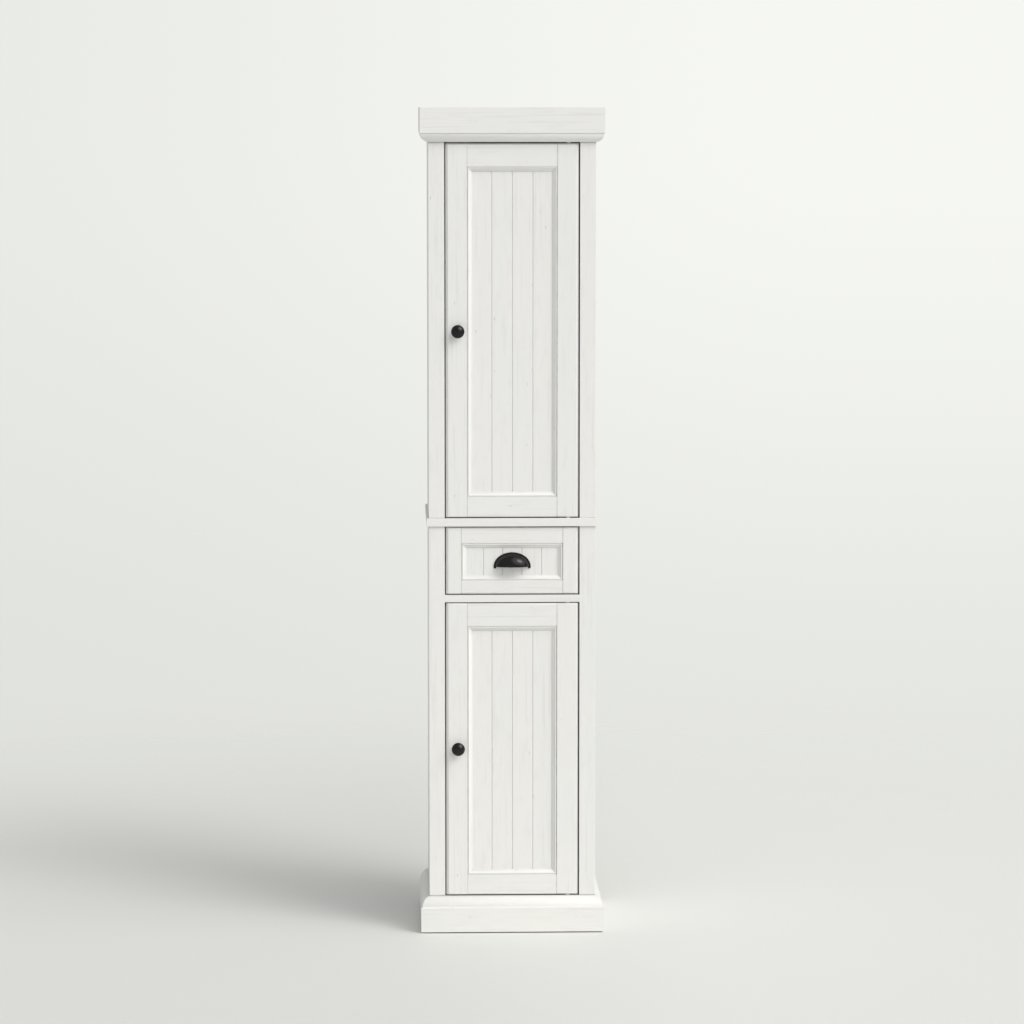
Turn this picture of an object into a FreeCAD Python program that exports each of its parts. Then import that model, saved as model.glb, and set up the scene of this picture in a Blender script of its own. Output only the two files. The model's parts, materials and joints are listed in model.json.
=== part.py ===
import FreeCAD, Part
import math
import os
import re

import Sketcher
from FreeCAD import Rotation, Vector

# A tall linen cabinet: moulded crown and plinth, two framed beadboard doors and a drawer with a cup pull.
# Millimetres. +X is the viewer's right, -Y faces the viewer and +Z is up. The origin is on the floor, in
# the middle of the plinth's footprint.

SIZES = {
    # Case
    "body_width": 368,
    "body_depth": 337,
    "side_thickness": 15,
    "back_thickness": 4,
    "back_rabbet": 7,
    "deck_thickness": 15,
    "stile_width": 35,
    "stile_thickness": 18,
    # Levels, from the floor up
    "glide_height": 2.5,
    "plinth_height": 78.5,
    "lower_opening_height": 658.5,
    "divider_thickness": 16,
    "drawer_opening_height": 152.5,
    "waist_thickness": 18,
    "upper_opening_height": 827,
    "crown_height": 76,
    # Crown, waist and plinth
    "trim_projection": 19,
    "plinth_moulding_height": 24,
    "plinth_step": 3,
    "plinth_step_rise": 2,
    "plinth_back_thickness": 15,
    "crown_moulding_height": 19.5,
    "crown_step": 2,
    "crown_toe": 2.5,
    "lid_thickness": 12,
    "waist_overhang": 5,
    "waist_round": 1,
    "glide_radius": 10,
    "glide_taper": 1,
    "glide_inset": 18,
    # Wall rail and its two screw holes
    "wall_rail_height": 60,
    "wall_rail_thickness": 16,
    "anchor_spacing": 200,
    "anchor_radius": 3,
    # Shelves
    "shelf_thickness": 15,
    "shelf_play": 1,
    "shelf_setback": 24,
    "lower_shelf_height": 318,
    "upper_low_shelf_height": 266,
    "upper_high_shelf_height": 545,
    "shelf_pin_radius": 2.5,
    "shelf_pin_depth": 8,
    "shelf_pin_reach": 9,
    "shelf_pin_blade": 12,
    "shelf_pin_inset": 40,
    "shelf_hole_play": 0.1,
    # Framed fronts
    "front_gap": 2.5,
    "front_thickness": 18,
    "front_bevel_width": 5.2,
    "front_bevel_depth": 6,
    "front_end_round": 3.4,
    "quirk_width": 1.5,
    "quirk_depth": 2.4,
    "bead_drop": 0.8,
    "bead_flat": 2,
    "cove_run": 7.5,
    "cove_fall": 5.2,
    "cove_radius": 9.2,
    "cove_heel": 1,
    "panel_thickness": 6,
    "panel_groove": 8,
    "panel_play": 0.5,
    "bead_groove_width": 3,
    "bead_groove_depth": 2,
    "door_stile_width": 47.5,
    "door_top_rail": 51,
    "door_bottom_rail": 45,
    "door_plank_width": 45.2,
    "drawer_stile_width": 34.5,
    "drawer_top_rail": 35,
    "drawer_bottom_rail": 30,
    "drawer_plank_width": 42.7,
    # Door pivots
    "pivot_inset": 22.5,
    "pivot_radius": 3,
    "pivot_collar_radius": 5,
    "pivot_case_depth": 10,
    "pivot_door_depth": 14,
    "pivot_seat_play": 0.05,
    "pivot_turn_play": 0.1,
    "pivot_end_play": 0.2,
    # Magnetic catches and strikes
    "catch_length": 46,
    "catch_depth": 14,
    "catch_height": 13,
    "catch_wing": 12,
    "catch_wing_thickness": 3,
    "catch_inset": 8,
    "catch_play": 0.3,
    "strike_length": 34,
    "strike_height": 11,
    "strike_thickness": 1.5,
    "strike_round": 3,
    "strike_drop": 1.5,
    # Knobs
    "knob_edge_inset": 26.5,
    "upper_knob_height": 410.5,
    "lower_knob_height": 329.5,
    "knob_radius": 14.7,
    "knob_foot_radius": 7.5,
    "knob_foot_height": 2,
    "knob_neck_radius": 5,
    "knob_neck_length": 3.5,
    "knob_underside": 5.5,
    "knob_rim": 2.5,
    "knob_dome": 7.5,
    # Cup pull
    "pull_width": 82,
    "pull_height": 36,
    "pull_projection": 23,
    "pull_wall": 1.8,
    "pull_flange": 3.2,
    "pull_flange_thickness": 2.2,
    "pull_ear_drop": 4.5,
    "pull_ear_width": 6,
    # Drawer box and runners
    "box_height": 104,
    "box_depth": 282,
    "box_wall": 12,
    "box_side_play": 4,
    "box_floor_play": 12,
    "box_bottom_thickness": 4,
    "box_bottom_rise": 8,
    "box_bottom_groove": 5,
    "box_bottom_play": 0.3,
    "runner_block_height": 30,
    "runner_height": 12,
    "runner_engagement": 7,
    "runner_play": 0.3,
}

DOOR_PLANKS = 4
DRAWER_PLANKS = 5
SIDES = {"left": -1, "right": 1}
# Points nearer than this count as one when edges are picked
SAME_PLACE = 0.01

# Landmarks, as formulas of the sizes
BODY_X = "(body_width / 2)"
SIDE_X = "(body_width / 2 - side_thickness)"
OPENING_X = "(body_width / 2 - stile_width)"
TRIM_X = "(body_width / 2 + trim_projection)"
FRONT_X = f"({OPENING_X} - front_gap)"
FACE_Y = "((trim_projection - body_depth) / 2)"
BACK_Y = "((trim_projection + body_depth) / 2)"
TRIM_Y = f"({FACE_Y} - trim_projection)"
FRAME_BACK_Y = f"({FACE_Y} + stile_thickness)"
FRONT_BACK_Y = f"({FACE_Y} + front_thickness)"
BACK_PANEL_Y = f"({BACK_Y} - back_thickness)"
PLINTH_TOP = "(glide_height + plinth_height)"
DIVIDER_Z = f"({PLINTH_TOP} + lower_opening_height)"
DIVIDER_TOP = f"({DIVIDER_Z} + divider_thickness)"
WAIST_Z = f"({DIVIDER_TOP} + drawer_opening_height)"
WAIST_TOP = f"({WAIST_Z} + waist_thickness)"
CROWN_Z = f"({WAIST_TOP} + upper_opening_height)"
CROWN_TOP = f"({CROWN_Z} + crown_height)"
LID_Z = f"({CROWN_TOP} - lid_thickness)"
STICKING = "(quirk_width + bead_flat + cove_run)"
PANEL_RECESS = "(bead_drop + cove_fall + cove_heel)"
PIVOT_X = f"({FRONT_X} - pivot_inset)"
PIVOT_Y = f"({FACE_Y} + front_thickness / 2)"
SHELF_FRONT_Y = f"({FRAME_BACK_Y} + shelf_setback)"
SHELF_LEVELS = {
    "lower_shelf": f"({PLINTH_TOP} + lower_shelf_height)",
    "upper_low_shelf": f"({WAIST_TOP} + upper_low_shelf_height)",
    "upper_high_shelf": f"({WAIST_TOP} + upper_high_shelf_height)",
}

doc = FreeCAD.newDocument("linen_cabinet")
sheet = doc.addObject("Spreadsheet::Sheet", "Sizes")
for row, (size_name, size) in enumerate(SIZES.items(), start=1):
    sheet.set(f"A{row}", size_name)
    sheet.set(f"B{row}", str(size))
    sheet.setAlias(f"B{row}", size_name)
doc.recompute()

nodes = []


# Formulas

def named(formula):
    """The formula with each size's name pointed at its cell."""
    def cell(word):
        name = word.group()
        return f"Sizes.{name}" if name in SIZES else name
    return re.sub(r"[a-z_]+", cell, formula)


def value(formula):
    """What a formula comes to, in millimetres."""
    return float(sheet.evalExpression(named(formula)))


def bind(item, prop, formula):
    item.setExpression(prop, named(formula))


def put(item, x="0", y="0", z="0"):
    """Bind where an object's own origin stands."""
    for axis, formula in zip("xyz", (x, y, z)):
        bind(item, f"Placement.Base.{axis}", formula)
    return item


def across(side, inner, outer):
    """Low and high X of something on one side, from its two distances off the middle."""
    return (inner, outer) if side > 0 else (f"-({outer})", f"-({inner})")


# Solids from primitives

def board(label, x, y, z):
    """A square-edged board. Each of x, y and z is its low and high formula."""
    box = doc.addObject("Part::Box", label)
    for prop, (low, high) in zip(("Length", "Width", "Height"), (x, y, z)):
        bind(box, prop, f"({high}) - ({low})")
    return put(box, x[0], y[0], z[0])


AXIS_TURN = {
    "x": Rotation(Vector(0, 1, 0), 90),
    "y": Rotation(Vector(1, 0, 0), -90),
    "z": Rotation(),
}


def rod(label, axis, radius, start, length, x="0", y="0", z="0"):
    """A cylinder along an axis. start is where it begins on that axis."""
    made = doc.addObject("Part::Cylinder", label)
    bind(made, "Radius", radius)
    bind(made, "Height", length)
    made.Placement.Rotation = AXIS_TURN[axis]
    place = {"x": x, "y": y, "z": z}
    place[axis] = start
    return put(made, **place)


def ellipsoid(label, half_x, half_y, half_z, x, y, z):
    made = doc.addObject("Part::Ellipsoid", label)
    made.Angle1 = -90
    bind(made, "Radius1", half_z)
    bind(made, "Radius2", half_x)
    bind(made, "Radius3", half_y)
    return put(made, x, y, z)


def fuse(label, pieces):
    made = doc.addObject("Part::MultiFuse", label)
    made.Shapes = pieces
    return made


def cut(label, base, tools):
    made = doc.addObject("Part::Cut", label)
    made.Base = base
    made.Tool = tools[0] if len(tools) == 1 else fuse(f"{label}_cutters", tools)
    return made


def common(label, base, tool):
    made = doc.addObject("Part::Common", label)
    made.Base = base
    made.Tool = tool
    return made


def group(label, solids):
    """Separate solids that share one node."""
    made = doc.addObject("Part::Compound", label)
    made.Links = solids
    return made


def node(piece):
    """Keep a finished piece: its label names its file."""
    nodes.append(piece)
    return piece


# Solids from sketches

def new_body(label, x="0", y="0", z="0"):
    return put(doc.addObject("PartDesign::Body", label), x, y, z)


def origin_feature(body, role):
    return next(item for item in body.Origin.OriginFeatures if item.Role == role)


def constrain(made, kind, where, formula):
    """Add one dimension to a sketch, bound to a formula."""
    number = made.addConstraint(Sketcher.Constraint(kind, *where, value(formula)))
    bind(made, f"Constraints[{number}]", formula)


def sketch_edge(made, start, end, centre):
    """Draw one edge, and give its number with the ends that lie at start and at end."""
    if centre is None:
        return made.addGeometry(Part.LineSegment(start, end)), 1, 2
    spoke_a = start - centre
    spoke_b = end - centre
    counterclockwise = spoke_a.cross(spoke_b).z > 0
    if not counterclockwise:
        spoke_a, spoke_b = spoke_b, spoke_a
    circle = Part.Circle(centre, Vector(0, 0, 1), spoke_a.Length)
    angle_a = math.atan2(spoke_a.y, spoke_a.x)
    angle_b = math.atan2(spoke_b.y, spoke_b.x)
    number = made.addGeometry(Part.ArcOfCircle(circle, angle_a, angle_b))
    return (number, 1, 2) if counterclockwise else (number, 2, 1)


def sketch_loop(made, loop):
    """Draw a closed outline. A corner is (x, y), or (x, y, centre x, centre y) where an arc leaves it."""
    corners = [Vector(value(x), value(y), 0) for x, y, *_ in loop]
    edges = []
    for index, (_, _, *centre) in enumerate(loop):
        hub = Vector(value(centre[0]), value(centre[1]), 0) if centre else None
        edges.append(sketch_edge(made, corners[index], corners[(index + 1) % len(loop)], hub))
    for index, (x, y, *centre) in enumerate(loop):
        edge, start, _ = edges[index]
        last_edge, _, last_end = edges[index - 1]
        made.addConstraint(Sketcher.Constraint("Coincident", last_edge, last_end, edge, start))
        constrain(made, "DistanceX", (-1, 1, edge, start), x)
        constrain(made, "DistanceY", (-1, 1, edge, start), y)
        if centre:
            reach_x = f"({centre[0]}) - ({x})"
            reach_y = f"({centre[1]}) - ({y})"
            constrain(made, "Radius", (edge,), f"sqrt(({reach_x}) ^ 2 + ({reach_y}) ^ 2)")


def sketch(body, name, plane, loops):
    """A sketch of closed outlines on one of the body's own planes."""
    made = body.newObject("Sketcher::SketchObject", f"{body.Label}_{name}")
    made.AttachmentSupport = [(origin_feature(body, plane), "")]
    made.MapMode = "FlatFace"
    for loop in loops:
        sketch_loop(made, loop)
    return made


def pad(body, name, plane, loop, length, side="One side", flip=False):
    made = body.newObject("PartDesign::Pad", f"{body.Label}_{name}_pad")
    made.Profile = sketch(body, name, plane, [loop])
    made.SideType = side
    made.Reversed = flip
    bind(made, "Length", length)
    return made


def pocket_through(body, name, plane, loops):
    """Cut outlines right through the body, both ways from their plane."""
    made = body.newObject("PartDesign::Pocket", f"{body.Label}_{name}_cut")
    made.Profile = sketch(body, name, plane, loops)
    made.SideType = "Two sides"
    made.Type = "ThroughAll"
    made.Type2 = "ThroughAll"
    return made


def round_edges(body, base, wanted, radius):
    """Round the edges of a feature that wanted(edge) picks."""
    doc.recompute()
    picked = [f"Edge{number}" for number, edge in enumerate(base.Shape.Edges, start=1) if wanted(edge)]
    made = body.newObject("PartDesign::Fillet", f"{body.Label}_round")
    made.Base = (base, picked)
    bind(made, "Radius", radius)
    return made


def rectangle(low_x, high_x, low_y, high_y):
    return [(low_x, low_y), (high_x, low_y), (high_x, high_y), (low_x, high_y)]


def lay(profile, first, second):
    """Turn a profile so that its two directions run along the given sketch axes, such as -x and +y."""
    laid = []
    for corner in profile:
        turned = []
        for u, v in zip(corner[::2], corner[1::2]):
            along = {first[1]: f"{first[0]}({u})", second[1]: f"{second[0]}({v})"}
            turned += [along["x"], along["y"]]
        laid.append(tuple(turned))
    return laid


# Crown and plinth

def mitred_trim(name, z, profile):
    """A profile run round the front and both sides, mitred at the front corners.

    The profile's first direction is out from the case, and its second is up.
    """
    outward = lay(profile, "-x", "+y")
    front = new_body(f"{name}_front", y=FACE_Y, z=z)
    pad(front, "profile", "YZ_Plane", outward, f"2 * {TRIM_X}", side="Symmetric")
    ends = ((BODY_X, TRIM_X), (f"-{BODY_X}", f"-{TRIM_X}"))
    waste = [[(outer, "-trim_projection"), (outer, "0"), (inner, "0")] for inner, outer in ends]
    pocket_through(front, "mitres", "XY_Plane", waste)
    node(front)
    for side_name, side in SIDES.items():
        sign = "+" if side > 0 else "-"
        piece = new_body(f"{name}_{side_name}", f"{sign}{BODY_X}", BACK_Y, z)
        pad(piece, "profile", "XZ_Plane", lay(profile, f"{sign}x", "+y"), "body_depth + trim_projection")
        front_end = "-(body_depth + trim_projection)"
        corner = [(f"{sign}trim_projection", front_end), ("0", front_end), ("0", "-body_depth")]
        pocket_through(piece, "mitre", "XY_Plane", [corner])
        node(piece)


def round_run(start_u, start_v, end_u, end_v):
    """Centre of the arc that leaves start upright and ends at end, as formulas."""
    run = f"(({start_u}) - ({end_u}))"
    rise = f"(({end_v}) - ({start_v}))"
    radius = f"(({run} ^ 2 + {rise} ^ 2) / (2 * {run}))"
    return f"({start_u}) - {radius}", start_v


def plinth():
    """Three moulded boards, and a plain rail between the sides at the back."""
    face_top = "plinth_height - plinth_moulding_height"
    shoulder = ("trim_projection - plinth_step", f"{face_top} + plinth_step_rise")
    profile = [
        ("0", "0"),
        ("trim_projection", "0"),
        ("trim_projection", face_top),
        (*shoulder, *round_run(*shoulder, "0", "plinth_height")),
        ("0", "plinth_height"),
    ]
    mitred_trim("plinth", "glide_height", profile)
    rail_y = (f"{BACK_Y} - plinth_back_thickness", BACK_Y)
    rail_z = ("glide_height", f"{PLINTH_TOP} - deck_thickness")
    node(board("plinth_back_rail", (f"-{SIDE_X}", SIDE_X), rail_y, rail_z))


def floor_glides():
    """Four nail-on glides, a little narrower at the floor."""
    feet = []
    for side in SIDES.values():
        for end_name, end in (("front", TRIM_Y), ("back", BACK_Y)):
            foot = doc.addObject("Part::Cone", f"glide_{end_name}")
            bind(foot, "Radius1", "glide_radius - glide_taper")
            bind(foot, "Radius2", "glide_radius")
            bind(foot, "Height", "glide_height")
            inward = "+" if end_name == "front" else "-"
            feet.append(put(foot, f"{side} * ({TRIM_X} - glide_inset)", f"{end} {inward} glide_inset", "0"))
    node(group("floor_glides", feet))


def crown():
    """A rounded moulding under a flat fascia, and the lid that the fascia surrounds."""
    shelf = "trim_projection - crown_step"
    top = "crown_moulding_height"
    toe = ("crown_toe", "0")
    moulding = [("0", "0"), (*toe, *round_run(shelf, top, *toe)), (shelf, top), ("0", top)]
    mitred_trim("crown_moulding", CROWN_Z, moulding)
    fascia = rectangle("0", "trim_projection", "0", "crown_height - crown_moulding_height")
    mitred_trim("crown_fascia", f"{CROWN_Z} + crown_moulding_height", fascia)
    node(board("crown_lid", (f"-{BODY_X}", BODY_X), (FACE_Y, BACK_Y), (LID_Z, CROWN_TOP)))


# Case

def pivot_seat(label, start, length):
    """The hole for a door pivot in a board of the case."""
    return rod(label, "z", "pivot_radius + pivot_seat_play", start, length, PIVOT_X, PIVOT_Y)


def deck(label, low, high, seats):
    """A board between the sides, notched round the stiles so that its front edge lies in the face."""
    loop = [
        (f"-{SIDE_X}", BACK_PANEL_Y),
        (f"-{SIDE_X}", FRAME_BACK_Y),
        (f"-{OPENING_X}", FRAME_BACK_Y),
        (f"-{OPENING_X}", FACE_Y),
        (OPENING_X, FACE_Y),
        (OPENING_X, FRAME_BACK_Y),
        (SIDE_X, FRAME_BACK_Y),
        (SIDE_X, BACK_PANEL_Y),
    ]
    blank = new_body(f"{label}_blank", z=low)
    pad(blank, "plan", "XY_Plane", loop, f"({high}) - ({low})")
    node(cut(label, blank, seats))


def decks():
    """Bottom board, divider under the drawer and top board, with the door pivots' holes."""
    depth = "pivot_case_depth"
    seat = pivot_seat("bottom_seat", f"{PLINTH_TOP} - {depth}", depth)
    deck("bottom_board", f"{PLINTH_TOP} - deck_thickness", PLINTH_TOP, [seat])
    deck("drawer_divider", DIVIDER_Z, DIVIDER_TOP, [pivot_seat("divider_seat", DIVIDER_Z, depth)])
    deck("top_board", CROWN_Z, f"{CROWN_Z} + deck_thickness", [pivot_seat("top_seat", CROWN_Z, depth)])


def waist_board():
    """The board between the two cases, with its front and end edges eased."""
    body = new_body("waist_blank", z=WAIST_Z)
    edge_x = f"({BODY_X} + waist_overhang)"
    edge_y = f"({FACE_Y} - waist_overhang)"
    slab = pad(body, "plan", "XY_Plane", rectangle(f"-{edge_x}", edge_x, edge_y, BACK_Y), "waist_thickness")
    back = value(BACK_Y)

    def shows(edge):
        level = abs(edge.Vertexes[0].Z - edge.Vertexes[1].Z) < SAME_PLACE
        return level and min(vertex.Y for vertex in edge.Vertexes) < back - SAME_PLACE
    round_edges(body, slab, shows, "waist_round")
    seat = pivot_seat("waist_seat", f"{WAIST_TOP} - pivot_case_depth", "pivot_case_depth")
    node(cut("waist_board", body, [seat]))


def shelf_spots(shelf_names):
    """Each shelf pin's level and place along Y, with the level as its axis."""
    columns = (f"{SHELF_FRONT_Y} + shelf_pin_inset", f"{BACK_PANEL_Y} - shelf_pin_inset")
    return [(f"({SHELF_LEVELS[name]} - shelf_pin_radius)", y) for name in shelf_names for y in columns]


def case_sides(level, low, high, shelf_names):
    """A case's two side boards: rabbeted for the back panel and drilled for the shelf pins."""
    for side_name, side in SIDES.items():
        label = f"{level}_{side_name}_side"
        blank = board(f"{label}_blank", across(side, SIDE_X, BODY_X), (FRAME_BACK_Y, BACK_Y), (low, high))
        rabbet_x = across(side, SIDE_X, f"{SIDE_X} + back_rabbet")
        cutters = [board(f"{label}_rabbet", rabbet_x, (BACK_PANEL_Y, BACK_Y), back_panel_span(level))]
        start, _ = across(side, SIDE_X, f"{SIDE_X} + shelf_pin_depth")
        for z, y in shelf_spots(shelf_names):
            radius = "shelf_pin_radius + shelf_hole_play"
            cutters.append(rod(f"{label}_hole", "x", radius, start, "shelf_pin_depth", y=y, z=z))
        node(cut(label, blank, cutters))


def case_stiles(level, low, high):
    for side_name, side in SIDES.items():
        x = across(side, OPENING_X, BODY_X)
        node(board(f"{level}_{side_name}_stile", x, (FACE_Y, FRAME_BACK_Y), (low, high)))


def back_panel_span(level):
    """Low and high Z of a case's back panel."""
    if level == "lower":
        return f"{PLINTH_TOP} - deck_thickness", WAIST_Z
    return WAIST_TOP, LID_Z


WALL_RAIL_Z = f"({CROWN_Z} - wall_rail_height)"


def anchor_holes(label, start, length):
    """The two wall screws' holes through a board."""
    z = f"{WALL_RAIL_Z} + wall_rail_height / 2"
    return [
        rod(f"{label}_hole", "y", "anchor_radius", start, length, x=f"{side} * anchor_spacing / 2", z=z)
        for side in SIDES.values()
    ]


def case_backs():
    """Thin back panels, and the rail inside that takes the wall screws."""
    reach = f"({SIDE_X} + back_rabbet)"
    x = (f"-{reach}", reach)
    y = (BACK_PANEL_Y, BACK_Y)
    node(board("lower_back_panel", x, y, back_panel_span("lower")))
    blank = board("upper_back_blank", x, y, back_panel_span("upper"))
    node(cut("upper_back_panel", blank, anchor_holes("upper_back", BACK_PANEL_Y, "back_thickness")))
    rail_y = f"{BACK_PANEL_Y} - wall_rail_thickness"
    rail = board("wall_rail_blank", (f"-{SIDE_X}", SIDE_X), (rail_y, BACK_PANEL_Y), (WALL_RAIL_Z, CROWN_Z))
    node(cut("wall_rail", rail, anchor_holes("wall_rail", rail_y, "wall_rail_thickness")))


def shelves():
    """Loose shelves, each on four spoon-shaped pins."""
    half = f"({SIDE_X} - shelf_play)"
    pins = []
    for name, z in SHELF_LEVELS.items():
        y = (SHELF_FRONT_Y, f"{BACK_PANEL_Y} - shelf_play")
        node(board(name, (f"-{half}", half), y, (z, f"{z} + shelf_thickness")))
    for z, y in shelf_spots(SHELF_LEVELS):
        for side in SIDES.values():
            start, end = across(side, f"({SIDE_X} - shelf_pin_reach)", f"({SIDE_X} + shelf_pin_depth)")
            peg = rod("shelf_peg", "x", "shelf_pin_radius", start, f"{end} - {start}", y=y, z=z)
            blade_x = across(side, f"({SIDE_X} - shelf_pin_reach)", SIDE_X)
            blade_y = (f"{y} - shelf_pin_blade / 2", f"{y} + shelf_pin_blade / 2")
            blade = board("shelf_blade", blade_x, blade_y, (z, f"{z} + shelf_pin_radius"))
            pins.append(fuse("shelf_pin", [peg, blade]))
    node(group("shelf_pins", pins))


def case():
    case_sides("lower", "glide_height", WAIST_Z, ["lower_shelf"])
    case_sides("upper", WAIST_TOP, LID_Z, ["upper_low_shelf", "upper_high_shelf"])
    case_stiles("lower", "glide_height", WAIST_Z)
    case_stiles("upper", WAIST_TOP, LID_Z)
    decks()
    waist_board()
    case_backs()
    shelves()


# Framed fronts: the doors and the drawer front

def hollow(start_u, start_v, end_u, end_v, radius):
    """Centre of the arc of a given radius hollowed under the line between start and end, as formulas."""
    run = f"(({end_u}) - ({start_u}))"
    fall = f"(({end_v}) - ({start_v}))"
    back = f"sqrt({radius} ^ 2 / ({run} ^ 2 + {fall} ^ 2) - 1 / 4)"
    return (f"(({start_u}) + ({end_u})) / 2 + {fall} * {back}",
            f"(({start_v}) + ({end_v})) / 2 - {run} * {back}")


def member_profile(width):
    """Section of a stile or rail: across from its outer edge, then back from its face.

    A fine quirk parts the flat face from a bead with a cove, and a groove behind the cove holds the panel.
    """
    inner = f"({width} + {STICKING})"
    bead_start = f"({width} + quirk_width)"
    cove_start = (f"({bead_start} + bead_flat)", "bead_drop")
    cove_end = (inner, "bead_drop + cove_fall")
    panel_back = f"({PANEL_RECESS} + panel_thickness)"
    return [
        ("0", "0"),
        (width, "0"),
        (width, "quirk_depth"),
        (bead_start, "quirk_depth"),
        (bead_start, "bead_drop"),
        (*cove_start, *hollow(*cove_start, *cove_end, "cove_radius")),
        cove_end,
        (inner, PANEL_RECESS),
        (f"{width} - panel_groove", PANEL_RECESS),
        (f"{width} - panel_groove", panel_back),
        (width, panel_back),
        (width, "front_thickness"),
        ("0", "front_thickness"),
    ]


def front_blank(name, low_z, height):
    """The whole front as one block, which its stiles and rails are shaped to: sides bevelled, ends eased."""
    plan = new_body(f"{name}_plan", y=FACE_Y, z=low_z)
    outline = [
        (f"-{FRONT_X}", "front_bevel_depth"),
        (f"-{FRONT_X} + front_bevel_width", "0"),
        (f"{FRONT_X} - front_bevel_width", "0"),
        (FRONT_X, "front_bevel_depth"),
        (FRONT_X, "front_thickness"),
        (f"-{FRONT_X}", "front_thickness"),
    ]
    pad(plan, "outline", "XY_Plane", outline, height)
    ends = new_body(f"{name}_ends", y=FACE_Y, z=low_z)
    ease = "front_end_round"
    high = f"({height} - {ease})"
    section = [
        ("0", ease, ease, ease),
        (ease, "0"),
        ("front_thickness", "0"),
        ("front_thickness", height),
        (ease, height, ease, high),
        ("0", high),
    ]
    pad(ends, "section", "YZ_Plane", section, f"2 * {FRONT_X}", side="Symmetric")
    return common(f"{name}_blank", plan, ends)


def front_stile(label, side, blank, low_z, height, width, top_rail, bottom_rail):
    """A full-height stile, its bead mitred at the rails."""
    sign = "-" if side > 0 else "+"
    body = new_body(f"{label}_stock", f"{side} * {FRONT_X}", FACE_Y, low_z)
    pad(body, "section", "XY_Plane", lay(member_profile(width), f"{sign}x", "+y"), height)
    inner = f"({width} + {STICKING})"
    upper = [
        (width, height),
        (width, f"{height} - {top_rail}"),
        (inner, f"{height} - {top_rail} - {STICKING}"),
        (inner, height),
    ]
    lower = [(width, "0"), (inner, "0"), (inner, f"{bottom_rail} + {STICKING}"), (width, bottom_rail)]
    pocket_through(body, "mitres", "XZ_Plane", [lay(loop, f"{sign}x", "+y") for loop in (upper, lower)])
    return common(label, body, blank)


def front_rail(label, up, blank, edge_z, width, span):
    """A rail between the stiles: its bead mitred, with a stub tenon in each stile's groove."""
    body = new_body(f"{label}_stock", y=FACE_Y, z=edge_z)
    pad(body, "section", "YZ_Plane", lay(member_profile(width), f"{up}y", "+x"), span, side="Symmetric")
    tenon = [
        ("0", PANEL_RECESS),
        (f"{width} - panel_groove", PANEL_RECESS),
        (f"{width} - panel_groove", f"{PANEL_RECESS} + panel_thickness"),
        ("0", f"{PANEL_RECESS} + panel_thickness"),
    ]
    tenon_span = f"{span} + 2 * (panel_groove - panel_play)"
    pad(body, "tenons", "YZ_Plane", lay(tenon, f"{up}y", "+x"), tenon_span, side="Symmetric")
    inner = f"({width} + {STICKING})"
    half = f"({span} / 2)"
    ends = []
    for sign in "+-":
        corner = [(width, half), (inner, half), (inner, f"{half} - {STICKING}")]
        ends.append(lay(corner, f"{up}y", f"{sign}x"))
    pocket_through(body, "mitres", "XZ_Plane", ends)
    return common(label, body, blank)


def beadboard(label, low_z, high_z, half_width, planks, plank_width):
    """A thin panel with a V groove between each two planks."""
    body = new_body(label, y=f"{FACE_Y} + {PANEL_RECESS}", z=low_z)
    loop = rectangle(f"-{half_width}", half_width, "0", f"({high_z}) - ({low_z})")
    pad(body, "face", "XZ_Plane", loop, "panel_thickness", flip=True)
    first = f"(-{plank_width} * {planks - 2} / 2)"
    groove = [
        (f"{first} - bead_groove_width / 2", "0"),
        (f"{first} + bead_groove_width / 2", "0"),
        (first, "bead_groove_depth"),
    ]
    cutter = pocket_through(body, "groove", "XY_Plane", [groove])
    rows = body.newObject("PartDesign::LinearPattern", f"{label}_grooves")
    rows.Originals = [cutter]
    rows.Direction = (origin_feature(body, "X_Axis"), [""])
    bind(rows, "Length", f"{plank_width} * {planks - 2}")
    rows.Occurrences = planks - 1
    body.Tip = rows
    return body


def framed_front(name, stile_names, low, high, stile, top_rail, bottom_rail, planks, plank_width):
    """Stiles, rails and panel of one front between the levels low and high of its opening."""
    low_z = f"({low} + front_gap)"
    height = f"({high} - {low} - 2 * front_gap)"
    blank = front_blank(name, low_z, height)
    stiles = {}
    for stile_name, side in zip(stile_names, SIDES.values()):
        label = f"{name}_{stile_name}"
        stiles[side] = front_stile(label, side, blank, low_z, height, stile, top_rail, bottom_rail)
    span = f"(2 * ({FRONT_X} - {stile}))"
    node(front_rail(f"{name}_top_rail", "-", blank, f"{low_z} + {height}", top_rail, span))
    node(front_rail(f"{name}_bottom_rail", "+", blank, low_z, bottom_rail, span))
    hold = "(panel_groove - panel_play)"
    panel_low = f"({low_z} + {bottom_rail} - {hold})"
    panel_high = f"({low_z} + {height} - {top_rail} + {hold})"
    node(beadboard(f"{name}_panel", panel_low, panel_high, f"({span} / 2 + {hold})", planks, plank_width))
    return stiles


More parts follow.
